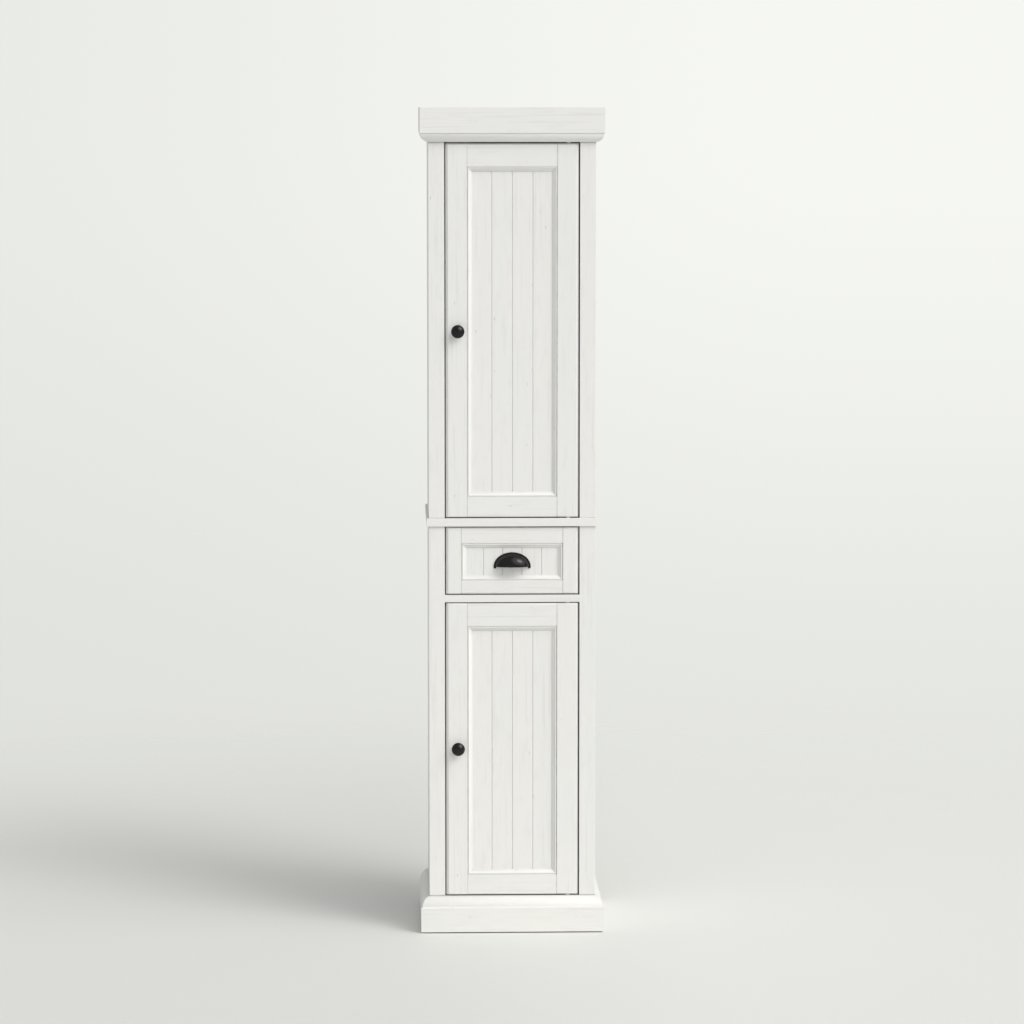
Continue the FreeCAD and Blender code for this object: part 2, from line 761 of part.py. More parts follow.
def knob(label, z):
    """A turned mushroom knob on the face of a door."""
    neck_low = "(knob_foot_height + knob_foot_radius - knob_neck_radius)"
    neck_high = f"({neck_low} + knob_neck_length)"
    rim_back = f"({neck_high} + knob_underside)"
    rim = f"({rim_back} + knob_rim)"
    tip = f"({rim} + knob_dome)"
    dome_radius = "((knob_radius ^ 2 + knob_dome ^ 2) / (2 * knob_dome))"
    profile = [
        ("0", "0"),
        ("knob_foot_radius", "0"),
        ("knob_foot_radius", "knob_foot_height"),
        ("knob_neck_radius", neck_low),
        ("knob_neck_radius", neck_high),
        ("knob_radius - knob_rim", rim_back, "knob_radius - knob_rim", rim),
        ("knob_radius", rim, "0", f"{tip} - {dome_radius}"),
        ("0", tip),
    ]
    body = new_body(label, f"-({FRONT_X} - knob_edge_inset)", FACE_Y, z)
    turned = body.newObject("PartDesign::Revolution", f"{label}_turning")
    turned.Profile = sketch(body, "profile", "XY_Plane", [lay(profile, "+x", "-y")])
    turned.ReferenceAxis = (turned.Profile[0], ["V_Axis"])
    turned.Angle = 360
    node(body)


def strike(label, door_top):
    """A steel plate on the door's back that meets the catch."""
    middle = f"(-{OPENING_X} + catch_inset + catch_length / 2)"
    body = new_body(label, middle, FRONT_BACK_Y, f"{door_top} - strike_drop - strike_height")
    loop = rectangle("-strike_length / 2", "strike_length / 2", "0", "strike_height")
    plate = pad(body, "face", "XZ_Plane", loop, "strike_thickness", flip=True)

    def through(edge):
        return abs(edge.Vertexes[0].Y - edge.Vertexes[1].Y) > SAME_PLACE
    round_edges(body, plate, through, "strike_round")
    node(body)


def door(name, low, high, knob_height):
    """A framed door that turns on a pivot at each end of its hinge stile."""
    sizes = ("door_stile_width", "door_top_rail", "door_bottom_rail", DOOR_PLANKS, "door_plank_width")
    stiles = framed_front(name, ("knob_stile", "hinge_stile_solid"), low, high, *sizes)
    node(stiles[SIDES["left"]])
    door_low = f"({low} + front_gap)"
    door_top = f"({high} - front_gap)"
    depth = "(pivot_door_depth + pivot_end_play)"
    radius = "pivot_radius + pivot_turn_play"
    holes = [
        rod(f"{name}_pivot_hole", "z", radius, start, depth, PIVOT_X, PIVOT_Y)
        for start in (door_low, f"{door_top} - {depth}")
    ]
    node(cut(f"{name}_hinge_stile", stiles[SIDES["right"]], holes))
    knob(f"{name}_knob", f"{door_low} + {knob_height}")
    strike(f"{name}_strike", door_top)


def door_pivot(label, seat, up):
    """A nylon pivot: a pin in the case and the door, and a collar that fills the gap between them."""
    pin_start = f"{seat} - pivot_case_depth" if up > 0 else f"{seat} - front_gap - pivot_door_depth"
    pin_length = "pivot_case_depth + front_gap + pivot_door_depth"
    collar_height = "front_gap - pivot_end_play"
    collar_start = seat if up > 0 else f"{seat} - ({collar_height})"
    pin = rod(f"{label}_pin", "z", "pivot_radius", pin_start, pin_length, PIVOT_X, PIVOT_Y)
    collar = rod(
        f"{label}_collar", "z", "pivot_collar_radius", collar_start, collar_height, PIVOT_X, PIVOT_Y)
    return fuse(label, [pin, collar])


def door_pivots():
    seats = [("lower_low", PLINTH_TOP, 1), ("lower_high", DIVIDER_Z, -1),
             ("upper_low", WAIST_TOP, 1), ("upper_high", CROWN_Z, -1)]
    node(group("door_pivots", [door_pivot(f"{name}_pivot", seat, up) for name, seat, up in seats]))


def door_catches():
    """Magnetic catches under the top board and the divider, behind the doors' knob stiles."""
    catches = []
    low_x = f"(-{OPENING_X} + catch_inset)"
    face = f"({FRONT_BACK_Y} + strike_thickness + catch_play)"
    wing_y = f"({face} + catch_depth)"
    for ceiling in (DIVIDER_Z, CROWN_Z):
        x = (low_x, f"{low_x} + catch_length")
        magnet = board("catch_body", x, (face, wing_y), (f"{ceiling} - catch_height", ceiling))
        wing_z = f"{ceiling} - catch_wing_thickness"
        wing = board("catch_wing", x, (wing_y, f"{wing_y} + catch_wing"), (wing_z, ceiling))
        catches.append(fuse("catch", [magnet, wing]))
    node(group("door_catches", catches))


# Drawer

BOX_X = f"({OPENING_X} - box_side_play)"
BOX_Z = f"({DIVIDER_TOP} + box_floor_play)"
BOX_BACK_Y = f"({FRONT_BACK_Y} + box_depth)"
RUNNER_MID_Z = f"({BOX_Z} + box_height / 2)"


def cup_pull(bottom_z):
    """A cast cup: a thin dome over a flange, open below, with a rounded ear at each end."""
    face = f"({FACE_Y} + {PANEL_RECESS})"
    rim_z = f"({bottom_z} + pull_ear_drop)"
    half = "(pull_width / 2)"
    rise = "(pull_height - pull_ear_drop)"
    middle = ("0", face, rim_z)
    outer = ellipsoid(
        "pull_outer", f"{half} - pull_flange", "pull_projection", f"{rise} - pull_flange", *middle)
    inset = "(pull_flange + pull_wall)"
    inner = ellipsoid(
        "pull_inner", f"{half} - {inset}", "pull_projection - pull_wall", f"{rise} - {inset}", *middle)
    plate = ellipsoid("pull_plate", half, "pull_projection", rise, *middle)
    slice_y = (f"{face} - pull_flange_thickness", face)
    slab = board("pull_slice", (f"-{half}", half), slice_y, (rim_z, f"{rim_z} + {rise}"))
    flange = common("pull_flange", plate, slab)
    shown = board("pull_shown", (f"-{half}", half), (f"{face} - pull_projection", face),
                  (rim_z, f"{rim_z} + {rise}"))
    dome = common("pull_dome", outer, shown)
    shell = cut("pull_shell", fuse("pull_solid", [dome, flange]), [inner])
    ears = []
    for side in SIDES.values():
        ear_x = across(side, f"({half} - pull_ear_width)", half)
        ear_end = f"({bottom_z} + pull_ear_width / 2)"
        ears.append(board("pull_ear", ear_x, slice_y, (ear_end, rim_z)))
        ears.append(rod("pull_ear_tip", "y", "pull_ear_width / 2", slice_y[0], "pull_flange_thickness",
                        x=f"{side} * ({half} - pull_ear_width / 2)", z=ear_end))
    node(fuse("drawer_cup_pull", [shell, *ears]))


def drawer_front():
    members = ("drawer_stile_width", "drawer_top_rail", "drawer_bottom_rail")
    planks = (DRAWER_PLANKS, "drawer_plank_width")
    stiles = framed_front("drawer", ("left_stile", "right_stile"), DIVIDER_TOP, WAIST_Z, *members, *planks)
    for piece in stiles.values():
        node(piece)
    cup_pull(f"({DIVIDER_TOP} + drawer_opening_height / 2 - pull_height / 2)")


def box_side_profile():
    """Section of a drawer side, in from its outer face and up, with a runner's groove and the bottom's."""
    runner_low = "(box_height / 2 - runner_height / 2 - runner_play)"
    runner_high = "(box_height / 2 + runner_height / 2 + runner_play)"
    return [
        ("0", "0"),
        ("box_wall", "0"),
        *bottom_groove(),
        ("box_wall", "box_height"),
        ("0", "box_height"),
        ("0", runner_high),
        ("runner_engagement", runner_high),
        ("runner_engagement", runner_low),
        ("0", runner_low),
    ]


def bottom_groove():
    """Corners of the drawer bottom's groove in the inner face of a box wall."""
    top = "box_bottom_rise + box_bottom_thickness"
    floor = "box_wall - box_bottom_groove"
    return [("box_wall", "box_bottom_rise"), (floor, "box_bottom_rise"), (floor, top), ("box_wall", top)]


def drawer_box():
    """A box behind the drawer front, its bottom held in grooves and its back standing on the bottom."""
    for side_name, side in SIDES.items():
        inward = "-" if side > 0 else "+"
        wall = new_body(f"drawer_box_{side_name}_side", f"{side} * {BOX_X}", BOX_BACK_Y, BOX_Z)
        pad(wall, "section", "XZ_Plane", lay(box_side_profile(), f"{inward}x", "+y"), "box_depth")
        node(wall)
    inner_x = f"({BOX_X} - box_wall)"
    front = new_body("drawer_box_front", y=FRONT_BACK_Y, z=BOX_Z)
    top = "box_height"
    section = [("0", "0"), ("box_wall", "0"), *bottom_groove(), ("box_wall", top), ("0", top)]
    pad(front, "section", "YZ_Plane", section, f"2 * {inner_x}", side="Symmetric")
    node(front)
    floor_z = f"({BOX_Z} + box_bottom_rise)"
    floor_top = f"({floor_z} + box_bottom_thickness)"
    hold = "(box_bottom_groove - box_bottom_play)"
    floor_x = f"({inner_x} + {hold})"
    floor_y = (f"{FRONT_BACK_Y} + box_wall - {hold}", BOX_BACK_Y)
    node(board("drawer_box_bottom", (f"-{floor_x}", floor_x), floor_y, (floor_z, floor_top)))
    back_y = (f"{BOX_BACK_Y} - box_wall", BOX_BACK_Y)
    node(board("drawer_box_back", (f"-{inner_x}", inner_x), back_y, (floor_top, f"{BOX_Z} + box_height")))


def drawer_runners():
    """Hardwood strips on the case sides: a block as thick as the stile's lip, and a tongue for the drawer."""
    block = "(stile_width - side_thickness)"
    reach = f"({block} + box_side_play + runner_engagement - runner_play)"
    low = "(runner_block_height - runner_height) / 2"
    high = "(runner_block_height + runner_height) / 2"
    profile = [
        ("0", "0"),
        (block, "0"),
        (block, low),
        (reach, low),
        (reach, high),
        (block, high),
        (block, "runner_block_height"),
        ("0", "runner_block_height"),
    ]
    for side_name, side in SIDES.items():
        inward = "-" if side > 0 else "+"
        low_z = f"{RUNNER_MID_Z} - runner_block_height / 2"
        strip = new_body(f"drawer_runner_{side_name}", f"{side} * {SIDE_X}", BACK_PANEL_Y, low_z)
        length = f"{BACK_PANEL_Y} - {FRAME_BACK_Y}"
        pad(strip, "section", "XZ_Plane", lay(profile, f"{inward}x", "+y"), length)
        node(strip)


# Assembly

plinth()
floor_glides()
case()
crown()
door("lower_door", PLINTH_TOP, DIVIDER_Z, "lower_knob_height")
door("upper_door", WAIST_TOP, CROWN_Z, "upper_knob_height")
door_pivots()
door_catches()
drawer_front()
drawer_box()
drawer_runners()
doc.recompute()

failed = [item.Label for item in doc.Objects if {"Invalid", "Error"} & set(item.State)]
failed += [piece.Label for piece in nodes if piece.Shape.isNull() or not piece.Shape.isValid()]
if failed:
    raise RuntimeError(f"these objects failed: {failed}")

os.makedirs("parts", exist_ok=True)
for piece in nodes:
    piece.Shape.exportStep(f"parts/{piece.Label}.step")
    print(f"{piece.Label}: {len(piece.Shape.Solids)} solid(s), {piece.Shape.Volume / 1000:.1f} cm3")
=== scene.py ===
import json
import math

import bpy
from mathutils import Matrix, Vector


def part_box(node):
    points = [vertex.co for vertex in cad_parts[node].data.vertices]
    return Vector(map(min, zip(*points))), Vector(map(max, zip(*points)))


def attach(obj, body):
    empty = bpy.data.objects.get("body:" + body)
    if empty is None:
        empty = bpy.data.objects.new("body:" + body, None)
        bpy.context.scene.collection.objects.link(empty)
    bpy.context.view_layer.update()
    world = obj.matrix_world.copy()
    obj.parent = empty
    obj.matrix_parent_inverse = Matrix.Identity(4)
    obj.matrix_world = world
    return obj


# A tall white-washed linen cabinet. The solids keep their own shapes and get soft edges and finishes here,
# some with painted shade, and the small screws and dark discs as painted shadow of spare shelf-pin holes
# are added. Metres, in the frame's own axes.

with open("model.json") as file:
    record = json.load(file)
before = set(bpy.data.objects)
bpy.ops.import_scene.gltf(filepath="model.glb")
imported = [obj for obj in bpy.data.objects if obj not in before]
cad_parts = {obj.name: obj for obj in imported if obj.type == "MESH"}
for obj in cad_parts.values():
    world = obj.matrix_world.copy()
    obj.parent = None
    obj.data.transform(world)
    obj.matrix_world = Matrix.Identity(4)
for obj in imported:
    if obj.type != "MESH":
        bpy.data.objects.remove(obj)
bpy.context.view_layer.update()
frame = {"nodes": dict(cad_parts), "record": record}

MM = 0.001
NODES = frame["nodes"]
BODY_OF = {
    name: body for body, names in frame["record"]["behaviour"]["bodies"].items() for name in names
}
SLOT_OF = {part["node"]: part["material_slot"] for part in frame["record"]["subparts"]}

# Beadboard: the planks in each panel and the width of one. A spread, here and below, is the distance at
# which a darkening starts and the distance at which it is full
PANEL_PLANKS = {
    "upper_door_panel": (4, 45.2 * MM),
    "lower_door_panel": (4, 45.2 * MM),
    "drawer_panel": (5, 42.7 * MM),
}
# Painted shade along the grooves between the planks
GROOVE_SPREAD = (1.35 * MM, 0.3 * MM)
GROOVE_SHADE = 0.2

# Joints between rails and stiles: the left stile of each front and the width of its flat face, the least
# and the most grime in patches along a joint, and its share at the left and the right, the larger share at
# the right being painted shade
FIRST_STILE = {"upper_door": "knob_stile", "lower_door": "knob_stile", "drawer": "left_stile"}
STILE_FLAT = {"upper_door": 47.5 * MM, "lower_door": 47.5 * MM, "drawer": 34.5 * MM}
JOINT_SPREAD = (1.0 * MM, 0.25 * MM)
JOINT_PATCH_SCALE = (60, 60, 60)
JOINT_GRIME = (0.45, 0.85)
JOINT_SHADE_SHARE = (0.8, 1.2)

# Where a front's coves run out on its panel: painted shade, faint on the lit sides and stronger on the
# shaded ones
COVE_SHADE_SPREAD = (3 * MM, 0.9 * MM)
LIT_COVE_SHADE = 0.06
SHADED_COVE_SHADE = 0.3
SHADED_SIDES = ("hinge_stile", "right_stile", "top_rail")

# Painted shade on the upper door's head under the crown and on the lower door's foot over the plinth, for
# the shadow in the gaps there
HEAD_SHADE_SPREAD = (5 * MM, 1.5 * MM)
FOOT_SHADE_SPREAD = (2.5 * MM, 0)
DOOR_EDGE_SHADE = 0.6

# Seams where the upright boards of the two cases meet what is below and above them, each a dark seam line
# with painted shade, and how dark each is
SEAM_REACH = 4 * MM
CASE_SEAM_SHADE = {
    "upper": (("waist_board", 0.4), ("crown_moulding_front", 0.9)),
    "lower": (("plinth_front", 0.9), ("waist_board", 0.3)),
}


def middle(name):
    low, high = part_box(name)
    return (low + high) / 2


# Node trees

def add(tree, kind, values=None, **options):
    """A new node with its options set. Each of values fills an input, or is linked to it if a socket."""
    made = tree.nodes.new(kind)
    for name, option in options.items():
        setattr(made, name, option)
    for key, given in (values or {}).items():
        if isinstance(given, bpy.types.NodeSocket):
            tree.links.new(given, made.inputs[key])
        else:
            made.inputs[key].default_value = given
    return made


def add_sockets(group, in_out, kinds):
    """Give a node group a named input or output of each kind."""
    for name, kind in kinds.items():
        group.interface.new_socket(name, in_out=in_out, socket_type=kind)


def maths(tree, operation, *values):
    """The result of a Math node."""
    return add(tree, "ShaderNodeMath", dict(enumerate(values)), operation=operation).outputs[0]


def vectors(tree, operation, *values):
    """The result of a Vector Math node."""
    return add(tree, "ShaderNodeVectorMath", dict(enumerate(values)), operation=operation).outputs[0]


def split(tree, vector):
    """The X, Y and Z of a vector."""
    return add(tree, "ShaderNodeSeparateXYZ", {"Vector": vector}).outputs


def apart(tree, first, second):
    """How far two values are from each other."""
    return maths(tree, "ABSOLUTE", maths(tree, "SUBTRACT", first, second))


def remap(tree, given, low, high, to_low=0.0, to_high=1.0):
    """Spread the part of a value between low and high smoothly over another range."""
    values = {"Value": given, "From Min": low, "From Max": high, "To Min": to_low, "To Max": to_high}
    made = add(tree, "ShaderNodeMapRange", values, interpolation_type="SMOOTHSTEP")
    return made.outputs["Result"]


def mix_colours(tree, share, first, second):
    """One colour laid over another. The numbers are a colour mix's own inputs and output."""
    values = {0: share, 6: first, 7: second}
    return add(tree, "ShaderNodeMix", values, data_type="RGBA").outputs[2]


def noise(tree, position, scale, detail=2.0):
    """Smooth noise, where scale is a number for each axis."""
    spread = vectors(tree, "MULTIPLY", position, scale)
    made = add(tree, "ShaderNodeTexNoise", {"Vector": spread, "Scale": 1.0, "Detail": detail})
    return made.outputs["Fac"]


def new_finish(name, shader_values):
    """A material with a Principled shader, and its tree and shader."""
    material = bpy.data.materials.new(name)
    material.use_nodes = True
    tree = material.node_tree
    shader = tree.nodes["Principled BSDF"]
    for key, given in shader_values.items():
        shader.inputs[key].default_value = given
    return material, tree, shader


def object_place(tree):
    return add(tree, "ShaderNodeTexCoord").outputs["Object"]


def colour_shader(tree, shader, colour):
    tree.links.new(colour, shader.inputs["Base Color"])


def bump(tree, shader, height, strength, depth):
    made = add(tree, "ShaderNodeBump", {"Strength": strength, "Distance": depth, "Height": height})
    tree.links.new(made.outputs["Normal"], shader.inputs["Normal"])


# White-washed paint

# The band that most noise lies in
NOISE_BAND = (0.3, 0.7)
# Turns that bring a board's grain onto Z
GRAIN_TURN = {"x": (0, -math.pi / 2, 0), "y": (math.pi / 2, 0, 0), "z": (0, 0, 0)}

WARM_WHITE = (0.840, 0.831, 0.804, 1)
COOL_WHITE = (0.820, 0.823, 0.808, 1)
# The grey of worn marks in the paint, also mixed in as painted shade
WEAR_AND_SHADE_GREY = (0.42, 0.40, 0.36, 1)
PAINT_IOR = 1.46
PAINT_ROUGHNESS = (0.40, 0.52)

# How far the pattern moves on each axis from one board number to the next
BOARD_SHIFT = (0.37, 0.61, 1.27)
# How much clouds and each board's own tone turn the white from warm to cool
CLOUD_SCALE = (14, 14, 4)
CLOUD_PART = 0.9
TONE_PART = 0.25
TINT_BAND = (0.3, 0.85)

# Grey marks along the grain: scale on each axis, detail, the band from none to full, and how grey
PAINT_MARKS = {
    "patch": ((80, 80, 22), 2, (0.5, 0.75), 0.06),
    "streak": ((210, 210, 5), 3, (0.56, 0.76), 0.14),
    "hair": ((1100, 1100, 16), 2, (0.55, 0.85), 0.11),
}
HAIR_HEIGHT = 0.5

# Flecks: scale on each axis, distances from none to full, which cells have one, and how grey
FLECK_SCALE = (95, 95, 26)
FLECK_SIZE = (0.16, 0.05)
FLECK_CHOICE = (0.84, 1.0)
FLECK_GREY = 0.48


def paint_flecks(group, place):
    """Small worn spots in a few cells of the paint."""
    spread = vectors(group, "MULTIPLY", place, FLECK_SCALE)
    cells = add(group, "ShaderNodeTexVoronoi", {"Vector": spread, "Scale": 1.0}).outputs
    chosen = add(group, "ShaderNodeSeparateColor", {"Color": cells["Color"]}).outputs["Red"]
    spot = remap(group, cells["Distance"], *FLECK_SIZE)
    return maths(group, "MULTIPLY", spot, remap(group, chosen, *FLECK_CHOICE))


def white_wash_group():
    """Brushed white paint on a board whose grain runs along Z: its colour, roughness and height."""
    group = bpy.data.node_groups.new("white_wash_paint", "ShaderNodeTree")
    add_sockets(group, "INPUT", {"Position": "NodeSocketVector", "Board": "NodeSocketFloat"})
    add_sockets(group, "OUTPUT", {
        "Colour": "NodeSocketColor", "Roughness": "NodeSocketFloat", "Height": "NodeSocketFloat"})
    given = add(group, "NodeGroupInput").outputs
    shift = vectors(group, "MULTIPLY", given["Board"], BOARD_SHIFT)
    place = vectors(group, "ADD", given["Position"], shift)

    cloud = maths(group, "MULTIPLY", noise(group, place, CLOUD_SCALE), CLOUD_PART)
    tone = add(group, "ShaderNodeTexWhiteNoise", {"W": given["Board"]}, noise_dimensions="1D")
    tint = maths(group, "ADD", cloud, maths(group, "MULTIPLY", tone.outputs["Value"], TONE_PART))
    colour = mix_colours(group, remap(group, tint, *TINT_BAND), WARM_WHITE, COOL_WHITE)

    marks = {}
    for name, (scale, detail, band, grey) in PAINT_MARKS.items():
        marks[name] = noise(group, place, scale, detail)
        colour = mix_colours(group, remap(group, marks[name], *band, 0.0, grey), colour, WEAR_AND_SHADE_GREY)
    fleck = paint_flecks(group, place)
    colour = mix_colours(group, maths(group, "MULTIPLY", fleck, FLECK_GREY), colour, WEAR_AND_SHADE_GREY)

    roughness = remap(group, marks["streak"], *NOISE_BAND, *PAINT_ROUGHNESS)
    brushed = maths(group, "ADD", maths(group, "MULTIPLY", marks["hair"], HAIR_HEIGHT), marks["streak"])
    height = maths(group, "SUBTRACT", brushed, fleck)
    add(group, "NodeGroupOutput", {"Colour": colour, "Roughness": roughness, "Height": height})
    return group


PAINT = white_wash_group()


def white_wash(name, grain, board, shade):
    """White-washed paint for one board. Any shade gives its board number and where grime and painted shade
    darken it.
    """
    material, tree, shader = new_finish(name, {"IOR": PAINT_IOR})
    place = object_place(tree)
    turned = add(tree, "ShaderNodeMapping", {"Vector": place, "Rotation": GRAIN_TURN[grain]}).outputs[0]
    dark = None
    if shade:
        board, dark = shade(tree, place, board)
    paint = add(tree, "ShaderNodeGroup", {"Position": turned, "Board": board}, node_tree=PAINT).outputs
    colour = paint["Colour"]
    if dark is not None:
        colour = mix_colours(tree, dark, colour, WEAR_AND_SHADE_GREY)
    colour_shader(tree, shader, colour)
    tree.links.new(paint["Roughness"], shader.inputs["Roughness"])
    bump(tree, shader, paint["Height"], strength=0.25, depth=0.12 * MM)
    return material


def beadboard_grooves(planks, width):
    """For a beadboard panel: a number for each plank, and painted shade along the grooves between them."""
    def shade(tree, place, board):
        across = maths(tree, "DIVIDE", split(tree, place)["X"], width)
        in_planks = maths(tree, "ADD", across, planks / 2)
        plank = maths(tree, "ADD", maths(tree, "FLOOR", in_planks), board)
        nearest = apart(tree, in_planks, maths(tree, "ROUND", in_planks))
        off = maths(tree, "MULTIPLY", nearest, width)
        return plank, remap(tree, off, *GROOVE_SPREAD, 0.0, GROOVE_SHADE)
    return shade


def panel_side(name):
    """The axis across a front's rail or stile, and where its edge beside the panel lies on that axis."""
    axis = "X" if name.endswith("_stile") else "Z"
    index = "XYZ".index(axis)
    ends = [corner[index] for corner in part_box(name)]
    panel = middle(f"{BODY_OF[name]}_panel")[index]
    return axis, min(ends, key=lambda end: abs(end - panel))


def door_edge_shade_levels(front):
    """The levels between which painted shade grows towards the upper door's head or the lower door's foot.
    """
    if front == "upper_door":
        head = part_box("upper_door_top_rail")[1].z
        return [head - distance for distance in HEAD_SHADE_SPREAD]
    if front == "lower_door":
        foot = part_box("lower_door_bottom_rail")[0].z
        return [foot + distance for distance in FOOT_SHADE_SPREAD]
    return None


def joints_and_painted_shade(name):
    """For a front's rail or stile: grime in its frame's joints, and painted shade at its cove and at a
    door's outer edge.
    """
    front = BODY_OF[name]
    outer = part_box(f"{front}_{FIRST_STILE[front]}")[0].x
    shoulder = -outer - STILE_FLAT[front]
    axis, edge = panel_side(name)
    cove_shade_share = SHADED_COVE_SHADE if name.endswith(SHADED_SIDES) else LIT_COVE_SHADE
    edge_shade_levels = door_edge_shade_levels(front)

    def shade(tree, place, board):
        parts = split(tree, place)
        from_joint = apart(tree, maths(tree, "ABSOLUTE", parts["X"]), shoulder)
        close = remap(tree, from_joint, *JOINT_SPREAD)
        patchy = remap(tree, noise(tree, place, JOINT_PATCH_SCALE), *NOISE_BAND, *JOINT_GRIME)
        share = remap(tree, parts["X"], -shoulder, shoulder, *JOINT_SHADE_SHARE)
        joint = maths(tree, "MULTIPLY", close, maths(tree, "MULTIPLY", patchy, share))
        from_panel = apart(tree, parts[axis], edge)
        # Painted shade where the cove runs out on the panel
        cove_shade = remap(tree, from_panel, *COVE_SHADE_SPREAD, 0.0, cove_shade_share)
        dark = maths(tree, "MAXIMUM", joint, cove_shade)
        # Painted shade towards the upper door's head or the lower door's foot
        if edge_shade_levels:
            edge_shade = remap(tree, parts["Z"], *edge_shade_levels, 0.0, DOOR_EDGE_SHADE)
            dark = maths(tree, "MAXIMUM", dark, edge_shade)
        return board, dark
    return shade


def end_seam_shade(name):
    """For an upright board of a case: a dark seam line with painted shade at its foot and its head."""
    (below, foot_shade), (above, head_shade) = CASE_SEAM_SHADE[name.split("_")[0]]
    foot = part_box(below)[1].z
    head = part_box(above)[0].z

    def shade(tree, place, board):
        level = split(tree, place)["Z"]
        at_foot = remap(tree, level, foot + SEAM_REACH, foot, 0.0, foot_shade)
        at_head = remap(tree, level, head - SEAM_REACH, head, 0.0, head_shade)
        return board, maths(tree, "MAXIMUM", at_foot, at_head)
    return shade


# White facing on the boards inside

INSIDE_WARM = (0.82, 0.81, 0.785, 1)
INSIDE_COOL = (0.80, 0.805, 0.79, 1)
INSIDE_LINE_BAND = (0.55, 0.8)
INSIDE_LINE_GREY = 0.05


def inside_white(name, grain, board):
    """Smooth white facing, with faint lines along the grain."""
    material, tree, shader = new_finish(name, {"Roughness": 0.45, "IOR": PAINT_IOR})
    shift = (board, board, board)
    values = {"Vector": object_place(tree), "Rotation": GRAIN_TURN[grain], "Location": shift}
    turned = add(tree, "ShaderNodeMapping", values).outputs[0]
    cloud = noise(tree, turned, scale=(9, 9, 5))
    lines = noise(tree, turned, scale=(260, 260, 7), detail=3)
    colour = mix_colours(tree, remap(tree, cloud, *NOISE_BAND), INSIDE_WARM, INSIDE_COOL)
    grey = remap(tree, lines, *INSIDE_LINE_BAND, 0.0, INSIDE_LINE_GREY)
    colour_shader(tree, shader, mix_colours(tree, grey, colour, WEAR_AND_SHADE_GREY))
    bump(tree, shader, lines, strength=0.12, depth=0.05 * MM)
    return material


# Thin hardboard: the colours of its white and its bare face, and the depths at which the bare one starts
# and is full

FACE_WARM = (0.80, 0.79, 0.76, 1)
FACE_COOL = (0.77, 0.775, 0.755, 1)
FIBRE_DARK = (0.36, 0.26, 0.17, 1)
FIBRE_PALE = (0.46, 0.35, 0.24, 1)
FIBRE_DUSTY = (0.50, 0.40, 0.29, 1)
FIBRE_BAND = (0.35, 0.7)
DUST_BAND = (0.4, 0.7)
DUST_SHARE = 0.3
BARE_DEPTH = (1.2 * MM, 0.6 * MM)

NAIL_GREY = (0.30, 0.30, 0.30, 1)
NAIL_PITCH = 95 * MM
NAIL_INSET = 4 * MM
# Distances from a nail's middle at which its head starts and is full
NAIL_RIM = (1.76 * MM, 1.44 * MM)


def nail_heads(tree, place, half_width):
    """A row of small nail heads down each long edge of a back panel."""
    parts = split(tree, place)
    steps = maths(tree, "DIVIDE", parts["Z"], NAIL_PITCH)
    off_step = maths(tree, "SUBTRACT", steps, maths(tree, "ROUND", steps))
    along = maths(tree, "MULTIPLY", off_step, NAIL_PITCH)
    across = maths(tree, "SUBTRACT", maths(tree, "ABSOLUTE", parts["X"]), half_width - NAIL_INSET)
    squares = [maths(tree, "MULTIPLY", side, side) for side in (along, across)]
    reach = maths(tree, "SQRT", maths(tree, "ADD", *squares))
    return remap(tree, reach, *NAIL_RIM)


def back_board(name):
    """Hardboard that is white inside, and bare towards the wall or under the drawer."""
    material, tree, shader = new_finish(name, {"Roughness": 0.6})
    place = object_place(tree)
    parts = split(tree, place)
    low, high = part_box(name)
    fibres = noise(tree, place, scale=(420, 420, 90), detail=4)
    cloud = noise(tree, place, scale=(6, 6, 6))
    facing = mix_colours(tree, remap(tree, cloud, *NOISE_BAND), FACE_WARM, FACE_COOL)
    bare = mix_colours(tree, remap(tree, fibres, *FIBRE_BAND), FIBRE_DARK, FIBRE_PALE)
    bare = mix_colours(tree, remap(tree, cloud, *DUST_BAND, 0.0, DUST_SHARE), bare, FIBRE_DUSTY)
    height = fibres
    if name.endswith("back_panel"):
        nails = nail_heads(tree, place, high.x)
        bare = mix_colours(tree, nails, bare, NAIL_GREY)
        height = maths(tree, "SUBTRACT", fibres, nails)
        bare_side = remap(tree, parts["Y"], *[high.y - depth for depth in BARE_DEPTH])
    else:
        bare_side = remap(tree, parts["Z"], *[low.z + depth for depth in BARE_DEPTH])
    colour_shader(tree, shader, mix_colours(tree, bare_side, facing, bare))
    bump(tree, shader, height, strength=0.2, depth=0.15 * MM)
    return material


# Finishes of the runners and the hardware

RING_DARK = (0.50, 0.33, 0.18, 1)
RING_PALE = (0.66, 0.47, 0.29, 1)
PORE_BROWN = (0.30, 0.18, 0.09, 1)
PORE_BAND = (0.58, 0.8)
PORE_SHARE = 0.4


def runner_wood():
    """Waxed hardwood with its grain from front to back."""
    material, tree, shader = new_finish("runner_wood", {"Roughness": 0.42})
    place = object_place(tree)
    rings = noise(tree, place, scale=(60, 3, 60), detail=3)
    pores = noise(tree, place, scale=(900, 25, 900))
    colour = mix_colours(tree, remap(tree, rings, *NOISE_BAND), RING_DARK, RING_PALE)
    brown = remap(tree, pores, *PORE_BAND, 0.0, PORE_SHARE)
    colour_shader(tree, shader, mix_colours(tree, brown, colour, PORE_BROWN))
    bump(tree, shader, pores, strength=0.25, depth=0.1 * MM)
    return material


BLACK_COAT = (0.006, 0.0058, 0.0056, 1)
THIN_COAT = (0.013, 0.0115, 0.010, 1)
THIN_BAND = (0.4, 0.75)
COAT_ROUGHNESS = (0.12, 0.17)


